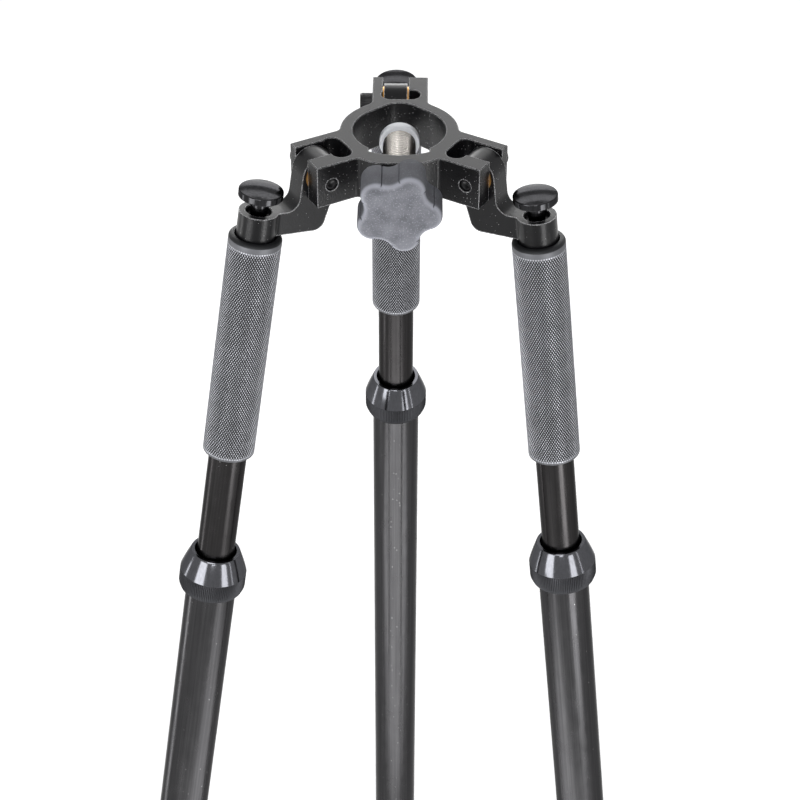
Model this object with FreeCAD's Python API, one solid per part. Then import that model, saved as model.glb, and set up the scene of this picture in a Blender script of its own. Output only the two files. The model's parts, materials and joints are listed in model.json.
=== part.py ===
import FreeCAD, Part
import math
import os

from FreeCAD import Placement, Rotation, Vector

# Surveyor tripod with an open V clamp for a prism pole and three two-section legs.
# Units are millimetres. The origin is the point on the ground plumb below the pole axis.
# +Z is up along the pole axis, +X is to the right and the clamp knob faces -Y.

# ---------------------------------------------------------------- stance
HINGE_R = 54.2               # leg hinge axis from the pole axis
BACK_LEG = dict(name="back", azimuth=90.0, splay=6.8, side=1)
LEFT_LEG = dict(name="left", azimuth=210.0, splay=9.09, side=-1)
RIGHT_LEG = dict(name="right", azimuth=330.0, splay=6.62, side=1)
LEGS = (BACK_LEG, LEFT_LEG, RIGHT_LEG)
DRAWN_OUT = 77.0             # left leg's collar below its grip, which sets the stand's height

# ---------------------------------------------------------------- clearances
FIT = 0.05                   # radial clearance of a screwed, turned or bonded fit
GUIDE = 0.15                 # radial clearance of a sliding part inside a tube
FREE = 0.3                   # gap between pieces that only pass each other
OVERRUN = 1.0                # how far a cut runs past the surface that it opens
ON_CURVE = 0.5               # an edge this near to a named curve lies on it

# ---------------------------------------------------------------- head
HEAD_HEIGHT = 26.8
OPENING_R = 27.6             # round part of the pole opening
V_WALL_ANGLE = 40.6          # V wall against the X axis, degrees
V_ROOT_R = 13.5              # rounded root of the V
HEAD_WALL = 7.6
RECESS_HALF_WIDTH = 17.7     # pocket behind the boss that lets the pad draw back
RECESS_Y = 29.7              # inner face of the boss wall, in front of the pole axis
RECESS_CURVE_R = 38.0
BOSS_R = 40.7
BOSS_FLAT_Y = 39.2           # spot face of the clamp screw, in front of the pole axis
THIN_EAR = 6.2
THICK_EAR = 11.7
CLEVIS_NOSE = 9.6            # ears beyond the hinge axis
SLOT_R = 5.9                 # end mill radius of the cross slot at the pocket's root
SLOT_SETBACK = 11.9          # cross slot's centre line inward of the hinge axis
SLOT_RELIEF = 0.8            # how far the cross slot runs past the gap into the thin ear
SLOT_LOBE = 7.1              # how far it runs past the gap into the thick ear
CLEVIS_FILLET = 5.0
BOSS_FILLET = 3.0
EDGE_CHAMFER = 0.4

# ---------------------------------------------------------------- hinge hardware
BOLT_R = 4.0
BOLT_HEAD_R = 6.6
BOLT_HEAD_H = 7.8
BOLT_HEAD_EDGE_R = 0.66
BOLT_SOCKET_FLATS = 6.0
BOLT_SOCKET_DEPTH = 4.0
BOLT_END_RECESS = 1.0        # the bolt's end lies this far inside the thick ear
BOLT_CLEARANCE = 0.25        # radial, in the thin ear
WASHER_R = 10.5
WASHER_T = 0.7
HINGE_PLAY = 0.05            # between a washer and the arm, each side

# ---------------------------------------------------------------- clamp
SCREW_R = 9.8
SCREW_END_CHAMFER = 1.0
PAD_R = 12.1
PAD_T = 5.0
PAD_FACE_Y = 11.0            # pad's gripping face, behind the pole axis
PAD_EDGE_R = 0.8
NECK_R = 4.0
NECK_L = 1.5
BUTTON_END_R = 5.1
BUTTON_END_T = 2.3
SNAP_CLEARANCE = 0.1
KNOB_BACK_Y = 52.0           # knob's rear face, in front of the pole axis
KNOB_DEPTH = 23.4
KNOB_LOBES = 5
KNOB_LOBE_R = 9.1
KNOB_LOBE_CENTRE_R = 16.6
KNOB_SCALLOP_R = 9.2
KNOB_FIRST_LOBE = 282.0      # angle of the lowest lobe, seen from the front
KNOB_FRONT_ROUND = 3.4
KNOB_BACK_ROUND = 0.8
STUB_R = 6.0                 # end of the screw moulded into the knob
STUB_L = 14.0

# ---------------------------------------------------------------- leg arm
# Leg frame: X outward from the hinge, Z up along the leg, origin on the hinge axis.
ARM_T = 14.2
EYE_R = 12.5
LEG_OFFSET = 35.2            # leg axis outward from the hinge axis
HOUSING_R = 11.8
HOUSING_TOP = 22.4           # below the hinge axis, as are the other depths
HOUSING_SHOULDER = 46.0
ARM_BOTTOM = 37.0
ARM_KNEE_R = 8.0
ARM_CORNER_R = 7.0
ARM_TAPER = 12.0             # inner edge against the leg axis, degrees
ARM_BLEND_R = 4.0
HOUSING_BORE_R = 7.7
HOUSING_BORE_END = 70.0
SPIGOT_END = 86.0

# ---------------------------------------------------------------- release button
CAP_R = 13.3
BUTTON_TRAVEL = 8.0
CAP_RIM_H = 4.7
CAP_PRESSED_GAP = 1.2        # cap above the housing when the button is down
CAP_DOME = 1.4
CAP_EDGE_R = 0.8
STEM_R = 5.0
STEM_COLLAR_L = 5.0
STEM_TAIL_R = 4.0
STEM_TAIL_END = 55.0
ROD_R = 2.5
ROD_TOP = 24.0
RETAINER_TOP = 25.4
RETAINER_L = 4.3
SPRING_WIRE_R = 0.55
SPRING_COIL_R = 6.3
SPRING_TURNS = 7.5

# ---------------------------------------------------------------- leg tubes and grip
TUBE_R = 11.9
TUBE_WALL = 1.5
TUBE_END = 880.0
GRIP_GAP = 1.2               # below the arm's lower edge
GRIP_END = 190.4
GRIP_R = 16.05
GRIP_GROOVE = 0.9            # open ring around the housing inside the grip's top
GRIP_TOP_ROUND = 2.6
GRIP_END_ROUND = 1.0
OUTER_R = 16.0
OUTER_WALL = 1.6
TUBE_SCREW_R = 2.0
TUBE_SCREW_L = 3.4
TUBE_SCREW_DROP = 16.0       # screw rows from the shoulder and from the tube's end
TUBE_SCREW_SINK = 0.4        # outer end below the tube's surface

# ---------------------------------------------------------------- lock inside the tube
PLUG_L = 30.0
RAMP_ANGLE = 12.0
RAMP_L = 35.0
RAMP_TOP_X = 6.0             # ramp face outward of the leg axis at the tube's end
RAMP_FILM = 0.05             # grease gap between the plug's ramp and the shoe's
SHOE_HALF_WIDTH = 11.0
SHOE_TOP_GAP = 10.0          # room for the shoe to climb, below the tube's end
ROD_HOLE_CLEARANCE = 0.3
T_HEAD_R = 4.0
T_HEAD_T = 3.0
T_HEAD_FLOOR = 4.0           # shoe material below the rod's head

# ---------------------------------------------------------------- lower leg, from its top rim
LOWER_L = 880.0              # collar rim to the centre of the point's tip
COLLAR_MOUTH_GAP = 1.6       # open ring between the inner tube and the collar's mouth
COLLAR_LIP = 1.9
COLLAR_R = 21.2
COLLAR_CONE_L = 14.6
COLLAR_BAND_L = 10.4
COLLAR_BEVEL_L = 3.5
COLLAR_BEVEL = 1.6
COLLAR_BOW = 0.25            # swell of the cone beyond a straight flank
COLLAR_SHOULDER = 8.0
COLLET_FLANGE = 2.5
COLLET_L = 28.0
POINT_L = 45.0               # foot casting's end to the centre of the point's tip
FOOT_L = 93.0
FOOT_END_R = 9.0
SOCKET_L = 40.0
SOCKET_WALL = 3.0
SOCKET_EDGE_R = 1.0
STEP_DROP = 50.0             # step's upper face below the socket's rim
STEP_T = 6.0
STEP_REACH = 46.0
STEP_HALF_WIDTH = 13.0
POINT_R = 8.0
POINT_SHOULDER = 6.0
POINT_STUD_R = 5.0
POINT_STUD_L = 15.0
TIP_R = 1.5
FOOT_SCREW_R = 2.5
FOOT_SCREW_HEAD_R = 4.5
FOOT_SCREW_HEAD_H = 2.2
FOOT_SCREW_INSET = 20.0      # screw axis below the socket's rim
FOOT_SCREW_TIP = 2.0         # screw end inside the tube wall

CLEVIS_END_R = HINGE_R + CLEVIS_NOSE
SLOT_X = HINGE_R - SLOT_SETBACK
CLEVIS_WIDTH = THIN_EAR + THICK_EAR + ARM_T + 2 * (WASHER_T + HINGE_PLAY)
HALF_CLEVIS = CLEVIS_WIDTH / 2
GAP_HIGH = HALF_CLEVIS - THIN_EAR
GAP_LOW = THICK_EAR - HALF_CLEVIS
GAP_MID = (GAP_HIGH + GAP_LOW) / 2
CAP_TOP = HOUSING_TOP - BUTTON_TRAVEL - CAP_PRESSED_GAP - CAP_RIM_H
STEM_COLLAR_TOP = RETAINER_TOP + RETAINER_L + FREE
STEM_COLLAR_R = HOUSING_BORE_R - 2 * FIT
GRIP_TOP = ARM_BOTTOM + GRIP_GAP
GRIP_COUNTERBORE_R = HOUSING_R + GRIP_GROOVE
GRIP_COUNTERBORE_L = HOUSING_SHOULDER - GRIP_TOP
TUBE_BORE_R = TUBE_R - TUBE_WALL
OUTER_BORE_R = OUTER_R - OUTER_WALL
COLLAR_MOUTH_R = TUBE_R + COLLAR_MOUTH_GAP
COLLAR_TOP_R = COLLAR_MOUTH_R + COLLAR_LIP
COLLAR_FOOT_R = COLLAR_R - COLLAR_BEVEL
COLLAR_L = COLLAR_CONE_L + COLLAR_BAND_L + COLLAR_BEVEL_L
FOOT_END = LOWER_L - POINT_L
SOCKET_TOP = FOOT_END - FOOT_L
SOCKET_R = OUTER_R + SOCKET_WALL
STEP_TOP = SOCKET_TOP + STEP_DROP
REST_SPLAY = math.radians(LEFT_LEG["splay"])
REACH = GRIP_END + DRAWN_OUT + LOWER_L
HINGE_HEIGHT = REACH * math.cos(REST_SPLAY) - LEG_OFFSET * math.sin(REST_SPLAY) + TIP_R
RAMP_SLOPE = math.tan(math.radians(RAMP_ANGLE))
T_SLOT_PLAY = BUTTON_TRAVEL * RAMP_SLOPE + FREE
UP = Vector(0, 0, 1)
EXPORTED = []


# ---------------------------------------------------------------- helpers
def disc(radius, height, base, axis=UP):
    return Part.makeCylinder(radius, height, Vector(*base), Vector(*axis))


def ring(outer, inner, height, base, axis=UP):
    return disc(outer, height, base, axis).cut(disc(inner, height, base, axis))


def block(x0, x1, y0, y1, z0, z1):
    return Part.makeBox(x1 - x0, y1 - y0, z1 - z0, Vector(x0, y0, z0))


def arc(start, middle, end):
    return Part.Arc(Vector(*start), Vector(*middle), Vector(*end)).toShape()


def line(start, end):
    return Part.makeLine(Vector(*start), Vector(*end))


def prism(edges, direction):
    return Part.Face(Part.Wire(edges)).extrude(Vector(*direction))


def lathe(points):
    """Solid turned about the Z axis from (radius, z) points, in order."""
    corners = [Vector(r, 0, z) for r, z in points]
    face = Part.Face(Part.makePolygon(corners + corners[:1]))
    return face.revolve(Vector(0, 0, 0), UP, 360)


def vertical_edges(solid, wanted):
    """Straight edges along Z whose middle point meets a condition."""
    found = []
    for edge in solid.Edges:
        if len(edge.Vertexes) != 2:
            continue
        run = edge.Vertexes[1].Point - edge.Vertexes[0].Point
        if abs(abs(run.z) - edge.Length) < 1e-4 and wanted(edge.CenterOfMass):
            found.append(edge)
    return found


def circles(solid, radius, height, axis_x=0.0):
    """Circular edges of one radius at one height about a vertical axis."""
    found = []
    for edge in solid.Edges:
        curve = edge.Curve
        if not isinstance(curve, Part.Circle) or abs(curve.Radius - radius) > 1e-4:
            continue
        if abs(curve.Center.z - height) < 1e-4 and abs(curve.Center.x - axis_x) < 1e-4:
            found.append(edge)
    return found


def save(name, shape):
    shape.exportStep("parts/" + name + ".step")
    EXPORTED.append(name)
    print(name, "solids", len(shape.Solids), "valid", shape.isValid(), "mm3", round(shape.Volume))


# ---------------------------------------------------------------- head
def opening_outline(offset):
    """Pole opening, or a line at a constant offset outside it."""
    angle = math.radians(V_WALL_ANGLE)
    round_r = OPENING_R + offset
    root_r = V_ROOT_R + offset
    root_y = (OPENING_R - V_ROOT_R) / math.cos(angle)
    low = (round_r * math.sin(angle), round_r * math.cos(angle), 0)
    high = (root_r * math.sin(angle), root_y + root_r * math.cos(angle), 0)
    low_left = (-low[0], low[1], 0)
    high_left = (-high[0], high[1], 0)
    return [
        arc(high, (0, root_y + root_r, 0), high_left),
        line(high_left, low_left),
        arc(low_left, (0, -round_r, 0), low),
        line(low, high),
    ]


def at_clevis(shape, leg):
    """Move a piece from the clevis frame, X outward, to the head's frame."""
    placed = shape.copy()
    placed.Placement = Placement(Vector(0, 0, 0), Rotation(UP, leg["azimuth"])).multiply(placed.Placement)
    return placed


def boss():
    outer = disc(BOSS_R, HEAD_HEIGHT, (0, 0, 0))
    spot_face = block(-BOSS_R, BOSS_R, -2 * BOSS_R, -BOSS_FLAT_Y, 0, HEAD_HEIGHT)
    left = Rotation(UP, LEFT_LEG["azimuth"]).multVec(Vector(2 * BOSS_R, 0, 0))
    right = Rotation(UP, RIGHT_LEG["azimuth"]).multVec(Vector(2 * BOSS_R, 0, 0))
    low = Vector(0, -4 * BOSS_R, 0)
    wedge = Part.Face(Part.makePolygon([Vector(0, 0, 0), left, low, right, Vector(0, 0, 0)]))
    return outer.cut(spot_face).common(wedge.extrude(Vector(0, 0, HEAD_HEIGHT)))


def clevis_pocket(side):
    low = min(side * GAP_LOW, side * GAP_HIGH)
    high = max(side * GAP_LOW, side * GAP_HIGH)
    gap = block(SLOT_X, CLEVIS_END_R + OVERRUN, low, high, 0, HEAD_HEIGHT)
    ends = (side * (GAP_HIGH + SLOT_RELIEF - SLOT_R), side * (GAP_LOW - SLOT_LOBE + SLOT_R))
    slot = block(SLOT_X - SLOT_R, SLOT_X + SLOT_R, min(ends), max(ends), 0, HEAD_HEIGHT)
    for end in ends:
        slot = slot.fuse(disc(SLOT_R, HEAD_HEIGHT, (SLOT_X, end, 0)))
    return gap.fuse(slot)


def hinge_holes(side):
    middle = HEAD_HEIGHT / 2
    thin = disc(BOLT_R + BOLT_CLEARANCE, HALF_CLEVIS + OVERRUN, (HINGE_R, side * GAP_MID, middle), (0, side, 0))
    thick = disc(BOLT_R + FIT, HALF_CLEVIS + GAP_MID + OVERRUN, (HINGE_R, side * GAP_MID, middle), (0, -side, 0))
    return thin.fuse(thick)


def make_head():
    body = prism(opening_outline(HEAD_WALL), (0, 0, HEAD_HEIGHT))
    body = body.fuse(boss())
    for leg in LEGS:
        bar = block(0, CLEVIS_END_R, -HALF_CLEVIS, HALF_CLEVIS, 0, HEAD_HEIGHT)
        body = body.fuse(at_clevis(bar, leg))
    body = body.removeSplitter()

    def beside_boss(point):
        near = math.hypot(point.x, point.y) - BOSS_R
        return abs(near) < ON_CURVE and point.y < -BOSS_R / 2

    def beside_core(point):
        near = math.hypot(point.x, point.y) - OPENING_R - HEAD_WALL
        return abs(near) < 4 * ON_CURVE and point.y > -BOSS_R / 4

    body = body.makeFillet(BOSS_FILLET, [
        edge for edge in vertical_edges(body, beside_boss)
        if abs(edge.CenterOfMass.x) > BOSS_R / 2])
    body = body.makeFillet(CLEVIS_FILLET, vertical_edges(body, beside_core))

    recess = block(-RECESS_HALF_WIDTH, RECESS_HALF_WIDTH, -RECESS_Y, 0, 0, HEAD_HEIGHT)
    recess = recess.common(disc(RECESS_CURVE_R, HEAD_HEIGHT, (0, RECESS_CURVE_R - RECESS_Y, 0)))
    body = body.cut(prism(opening_outline(0), (0, 0, HEAD_HEIGHT)).fuse(recess))
    for leg in LEGS:
        body = body.cut(at_clevis(clevis_pocket(leg["side"]), leg))
    body = body.removeSplitter()

    rims = []
    for face in body.Faces:
        if abs(face.BoundBox.ZLength) < 1e-6:
            rims.extend(face.Edges)
    body = body.makeChamfer(EDGE_CHAMFER, rims)
    for leg in LEGS:
        body = body.cut(at_clevis(hinge_holes(leg["side"]), leg))
    body = body.cut(disc(SCREW_R + FIT, BOSS_R, (0, 0, HEAD_HEIGHT / 2), (0, -1, 0)))
    body.translate(Vector(0, 0, HINGE_HEIGHT - HEAD_HEIGHT / 2))
    return body


# ---------------------------------------------------------------- clamp
def make_pad():
    back = PAD_FACE_Y - PAD_T
    pad = disc(PAD_R, PAD_T, (0, back, HINGE_HEIGHT), (0, 1, 0))
    rims = [edge for edge in pad.Edges if isinstance(edge.Curve, Part.Circle)]
    pad = pad.makeFillet(PAD_EDGE_R, rims)
    neck = disc(NECK_R + SNAP_CLEARANCE, PAD_T / 2, (0, back, HINGE_HEIGHT), (0, 1, 0))
    chamber_y = PAD_FACE_Y - PAD_T - FREE + NECK_L - FIT
    chamber = disc(BUTTON_END_R + SNAP_CLEARANCE, BUTTON_END_T + 2 * FIT, (0, chamber_y, HINGE_HEIGHT), (0, 1, 0))
    return pad.cut(neck).cut(chamber)


def make_screw():
    end = PAD_FACE_Y - PAD_T - FREE
    shank = disc(SCREW_R, end + KNOB_BACK_Y, (0, -KNOB_BACK_Y, HINGE_HEIGHT), (0, 1, 0))
    tip = [edge for edge in shank.Edges if isinstance(edge.Curve, Part.Circle) and edge.Curve.Center.y > 0]
    shank = shank.makeChamfer(SCREW_END_CHAMFER, tip)
    stub = disc(STUB_R, STUB_L, (0, -KNOB_BACK_Y - STUB_L, HINGE_HEIGHT), (0, 1, 0))
    neck = disc(NECK_R, NECK_L, (0, end, HINGE_HEIGHT), (0, 1, 0))
    button = disc(BUTTON_END_R, BUTTON_END_T, (0, end + NECK_L, HINGE_HEIGHT), (0, 1, 0))
    return shank.fuse(stub).fuse(neck).fuse(button).removeSplitter()


def knob_outline():
    """Star of round lobes joined by tangent scallops, in the plane Y = 0."""
    step = 360.0 / KNOB_LOBES
    half = math.radians(step / 2)
    reach = KNOB_LOBE_R + KNOB_SCALLOP_R
    across = KNOB_LOBE_CENTRE_R * math.sin(half)
    scallop_r = KNOB_LOBE_CENTRE_R * math.cos(half) + math.sqrt(reach ** 2 - across ** 2)

    def polar(radius, degrees):
        turn = math.radians(degrees)
        return Vector(radius * math.cos(turn), 0, radius * math.sin(turn))

    def toward(start, end, distance):
        return start + (end - start).normalize() * distance

    edges = []
    for index in range(KNOB_LOBES):
        angle = KNOB_FIRST_LOBE + index * step
        lobe = polar(KNOB_LOBE_CENTRE_R, angle)
        before = polar(scallop_r, angle - step / 2)
        after = polar(scallop_r, angle + step / 2)
        following = polar(KNOB_LOBE_CENTRE_R, angle + step)
        tip = polar(KNOB_LOBE_CENTRE_R + KNOB_LOBE_R, angle)
        start = toward(lobe, before, KNOB_LOBE_R)
        end = toward(lobe, after, KNOB_LOBE_R)
        next_start = toward(following, after, KNOB_LOBE_R)
        low = polar(scallop_r - KNOB_SCALLOP_R, angle + step / 2)
        edges.append(Part.Arc(start, tip, end).toShape())
        edges.append(Part.Arc(end, low, next_start).toShape())
    return edges


def make_knob():
    knob = prism(knob_outline(), (0, -KNOB_DEPTH, 0))
    front = [edge for edge in knob.Edges if edge.BoundBox.YMax < -KNOB_DEPTH + 0.01]
    knob = knob.makeFillet(KNOB_FRONT_ROUND, front)
    back = [edge for edge in knob.Edges if edge.BoundBox.YMin > -0.01]
    knob = knob.makeFillet(KNOB_BACK_ROUND, back)
    knob = knob.cut(disc(STUB_R + FIT, STUB_L + FREE, (0, 0, 0), (0, -1, 0)))
    knob.translate(Vector(0, -KNOB_BACK_Y, HINGE_HEIGHT))
    return knob


# ---------------------------------------------------------------- upper leg
def make_bolt(side):
    outer = side * HALF_CLEVIS
    shank_l = CLEVIS_WIDTH - BOLT_END_RECESS
    shank = disc(BOLT_R, shank_l, (0, outer, 0), (0, -side, 0))
    head = disc(BOLT_HEAD_R, BOLT_HEAD_H, (0, outer, 0), (0, side, 0))
    rim = [edge for edge in head.Edges
           if isinstance(edge.Curve, Part.Circle) and abs(edge.Curve.Center.y) > HALF_CLEVIS + BOLT_HEAD_H / 2]
    head = head.makeFillet(BOLT_HEAD_EDGE_R, rim)
    corner_r = BOLT_SOCKET_FLATS / math.sqrt(3)
    top = outer + side * BOLT_HEAD_H
    corners = []
    for index in range(7):
        turn = math.radians(60 * index)
        corners.append(Vector(corner_r * math.cos(turn), top, corner_r * math.sin(turn)))
    socket = Part.Face(Part.makePolygon(corners)).extrude(Vector(0, -side * BOLT_SOCKET_DEPTH, 0))
    return shank.fuse(head).cut(socket)


def make_washers(side):
    washers = []
    for start in (GAP_LOW, GAP_HIGH - WASHER_T):
        washers.append(ring(WASHER_R, BOLT_R + BOLT_CLEARANCE, WASHER_T, (0, side * start, 0), (0, side, 0)))
    return Part.makeCompound(washers)


def arm_plate(side):
    """Arm seen along the hinge: eye, tapered shank and foot that meets the housing."""
    taper = math.radians(ARM_TAPER)
    inner_top = (-EYE_R * math.cos(taper), 0, -EYE_R * math.sin(taper))
    run = (ARM_BOTTOM - EYE_R * math.sin(taper)) / math.cos(taper)
    corner = (inner_top[0] + run * math.sin(taper), 0, -ARM_BOTTOM)
    knee_top = (EYE_R, 0, -HOUSING_TOP + ARM_KNEE_R)
    knee_end = (EYE_R + ARM_KNEE_R, 0, -HOUSING_TOP)
    bend = ARM_KNEE_R * (1 - math.sqrt(0.5))
    knee_mid = (EYE_R + bend, 0, -HOUSING_TOP + bend)
    edges = [
        arc(inner_top, (-EYE_R * math.sin(taper / 2), 0, EYE_R * math.cos(taper / 2)), (EYE_R, 0, 0)),
        line((EYE_R, 0, 0), knee_top),
        arc(knee_top, knee_mid, knee_end),
        line(knee_end, (LEG_OFFSET, 0, -HOUSING_TOP)),
        line((LEG_OFFSET, 0, -HOUSING_TOP), (LEG_OFFSET, 0, -ARM_BOTTOM)),
        line((LEG_OFFSET, 0, -ARM_BOTTOM), corner),
        line(corner, inner_top),
    ]
    plate = prism(edges, (0, ARM_T, 0))
    plate.translate(Vector(0, side * GAP_MID - ARM_T / 2, 0))
    inner = [edge for edge in plate.Edges
             if edge.BoundBox.XLength < 1e-3 and abs(edge.CenterOfMass.x - corner[0]) < 1e-3]
    return plate.makeFillet(ARM_CORNER_R, inner)


def make_arm(side):
    middle = side * GAP_MID
    axis = (LEG_OFFSET, middle)
    arm = arm_plate(side)
    arm = arm.fuse(disc(HOUSING_R, ARM_BOTTOM - HOUSING_TOP, (*axis, -ARM_BOTTOM))).removeSplitter()

    def in_the_crook(point):
        beside_plate = abs(abs(point.y - middle) - ARM_T / 2) < 1e-3
        return beside_plate and EYE_R < point.x < LEG_OFFSET

    arm = arm.makeFillet(ARM_BLEND_R, vertical_edges(arm, in_the_crook))
    arm = arm.fuse(disc(HOUSING_R, HOUSING_SHOULDER - ARM_BOTTOM, (*axis, -HOUSING_SHOULDER)))
    arm = arm.fuse(disc(TUBE_BORE_R - FIT, SPIGOT_END - HOUSING_SHOULDER, (*axis, -SPIGOT_END)))
    arm = arm.removeSplitter()
    arm = arm.cut(disc(HOUSING_BORE_R, HOUSING_BORE_END - HOUSING_TOP, (*axis, -HOUSING_BORE_END)))
    arm = arm.cut(disc(STEM_TAIL_R + FREE, SPIGOT_END, (*axis, -SPIGOT_END)))
    mouth = circles(arm, HOUSING_BORE_R, -HOUSING_TOP, LEG_OFFSET)
    arm = arm.makeChamfer(EDGE_CHAMFER, mouth)
    arm = arm.cut(disc(BOLT_R + FIT, ARM_T, (0, middle - ARM_T / 2, 0), (0, 1, 0)))
    screw_z = -HOUSING_SHOULDER - TUBE_SCREW_DROP
    return arm.cut(radial_pair(TUBE_SCREW_R + FIT, TUBE_R, axis, screw_z, HOUSING_BORE_R - OVERRUN))


def radial_pair(radius, reach, axis, height, start=0.0):
    """Two pins square to the leg, one each side, from a start radius outward."""
    pins = []
    for way in (1, -1):
        base = (axis[0], axis[1] + way * start, height)
        pins.append(disc(radius, reach - start, base, (0, way, 0)))
    return Part.makeCompound(pins)


def make_button(side):
    middle = side * GAP_MID
    rim_end = CAP_TOP + CAP_RIM_H
    cap = lathe([(0, -rim_end), (CAP_R, -rim_end), (CAP_R, -CAP_TOP), (0, -CAP_TOP)])
    cap = cap.makeFillet(CAP_EDGE_R, circles(cap, CAP_R, -CAP_TOP) + circles(cap, CAP_R, -rim_end))
    face_r = CAP_R - CAP_EDGE_R
    dome_r = (face_r ** 2 + CAP_DOME ** 2) / (2 * CAP_DOME)
    ball = Part.makeSphere(dome_r, Vector(0, 0, -CAP_TOP + CAP_DOME - dome_r))
    dome = ball.common(disc(face_r, CAP_DOME + OVERRUN, (0, 0, -CAP_TOP)))
    collar_end = STEM_COLLAR_TOP + STEM_COLLAR_L
    stem = lathe([
        (0, -rim_end), (STEM_R, -rim_end), (STEM_R, -STEM_COLLAR_TOP), (STEM_COLLAR_R, -STEM_COLLAR_TOP),
        (STEM_COLLAR_R, -collar_end), (STEM_TAIL_R, -collar_end), (STEM_TAIL_R, -STEM_TAIL_END),
        (0, -STEM_TAIL_END)])
    button = cap.fuse(dome).fuse(stem).removeSplitter()
    button = button.cut(disc(ROD_R + FIT, STEM_TAIL_END - ROD_TOP, (0, 0, -STEM_TAIL_END)))
    button.translate(Vector(LEG_OFFSET, middle, 0))
    return button


def make_retainer(side):
    base = (LEG_OFFSET, side * GAP_MID, -RETAINER_TOP - RETAINER_L)
    return ring(HOUSING_BORE_R - FIT, STEM_R + 2 * FIT, RETAINER_L, base)


def make_spring(side):
    """Coil of half turns, tilted one way and then the other so that they meet square and smooth."""
    top = STEM_COLLAR_TOP + STEM_COLLAR_L + SPRING_WIRE_R + FIT
    bottom = HOUSING_BORE_END - SPRING_WIRE_R - FIT
    count = round(2 * SPRING_TURNS)
    rise = (bottom - top) / count
    halves = []
    for index in range(count):
        way = 1 - 2 * (index % 2)
        start = Vector(way * SPRING_COIL_R, 0, index * rise)
        middle = Vector(0, 0, (index + 0.5) * rise)
        wire = Part.Wire(Part.makeCircle(SPRING_WIRE_R, start, Vector(0, 1, 0)))
        halves.append(Part.Face(wire).revolve(middle, Vector(way * rise, 0, 2 * SPRING_COIL_R), 180))
    spring = halves[0].fuse(halves[1:]).removeSplitter()
    spring.translate(Vector(LEG_OFFSET, side * GAP_MID, -bottom))
    return spring


def rod_end():
    return TUBE_END + RAMP_L + SHOE_TOP_GAP / 2 - T_HEAD_FLOOR


def make_rod(side):
    axis = (LEG_OFFSET, side * GAP_MID)
    end = rod_end()
    rod = disc(ROD_R, end - ROD_TOP - FREE, (*axis, -end))
    return rod.fuse(disc(T_HEAD_R, T_HEAD_T, (*axis, -end))).removeSplitter()


def make_tube(side):
    axis = (LEG_OFFSET, side * GAP_MID)
    tube = ring(TUBE_R, TUBE_BORE_R, TUBE_END - HOUSING_SHOULDER, (*axis, -TUBE_END))
    for screw_z in (HOUSING_SHOULDER + TUBE_SCREW_DROP, TUBE_END - TUBE_SCREW_DROP):
        tube = tube.cut(radial_pair(TUBE_SCREW_R + FIT, TUBE_R + OVERRUN, axis, -screw_z))
    return tube


def make_tube_screws(side):
    axis = (LEG_OFFSET, side * GAP_MID)
    screws = []
    for screw_z in (HOUSING_SHOULDER + TUBE_SCREW_DROP, TUBE_END - TUBE_SCREW_DROP):
        outer = TUBE_R - TUBE_SCREW_SINK
        pair = radial_pair(TUBE_SCREW_R, outer, axis, -screw_z, outer - TUBE_SCREW_L)
        screws.extend(pair.Solids)
    return Part.makeCompound(screws)


def make_grip(side):
    middle = side * GAP_MID
    grip = disc(GRIP_R, GRIP_END - GRIP_TOP, (0, 0, -GRIP_END))
    grip = grip.makeFillet(GRIP_TOP_ROUND, circles(grip, GRIP_R, -GRIP_TOP))
    grip = grip.makeFillet(GRIP_END_ROUND, circles(grip, GRIP_R, -GRIP_END))
    grip = grip.cut(disc(TUBE_R + FIT, GRIP_END, (0, 0, -GRIP_END)))
    grip = grip.cut(disc(GRIP_COUNTERBORE_R, GRIP_COUNTERBORE_L, (0, 0, -GRIP_TOP - GRIP_COUNTERBORE_L)))
    grip.translate(Vector(LEG_OFFSET, middle, 0))
    return grip


# ---------------------------------------------------------------- lock
def ramp_side(start, end):
    """Slab between two distances outward of the ramp face, in the leg axis frame."""
    size = 4 * OUTER_R
    slab = block(start, end, -size, size, -size, size)
    slab.rotate(Vector(0, 0, 0), Vector(0, 1, 0), RAMP_ANGLE)
    slab.translate(Vector(RAMP_TOP_X, 0, -TUBE_END))
    return slab


def make_plug(side):
    guide_r = OUTER_BORE_R - 2 * GUIDE
    stem = disc(TUBE_BORE_R - FIT, PLUG_L, (0, 0, -TUBE_END))
    ramp = disc(guide_r, RAMP_L, (0, 0, -TUBE_END - RAMP_L)).common(ramp_side(-4 * OUTER_R, 0))
    plug = stem.fuse(ramp).removeSplitter()
    plug = plug.cut(disc(ROD_R + ROD_HOLE_CLEARANCE, PLUG_L + RAMP_L, (0, 0, -TUBE_END - RAMP_L)))
    screws = radial_pair(TUBE_SCREW_R + FIT, TUBE_R, (0, 0), -TUBE_END + TUBE_SCREW_DROP,
                         TUBE_R - TUBE_SCREW_SINK - TUBE_SCREW_L - FREE)
    plug = plug.cut(screws)
    head_r = T_HEAD_R + FREE
    head_room = block(-head_r, 2 * OUTER_R, -head_r, head_r, -TUBE_END - RAMP_L, -rod_end() + T_HEAD_T + FREE)
    plug = plug.cut(head_room)
    plug.translate(Vector(LEG_OFFSET, side * GAP_MID, 0))
    return plug


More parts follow.
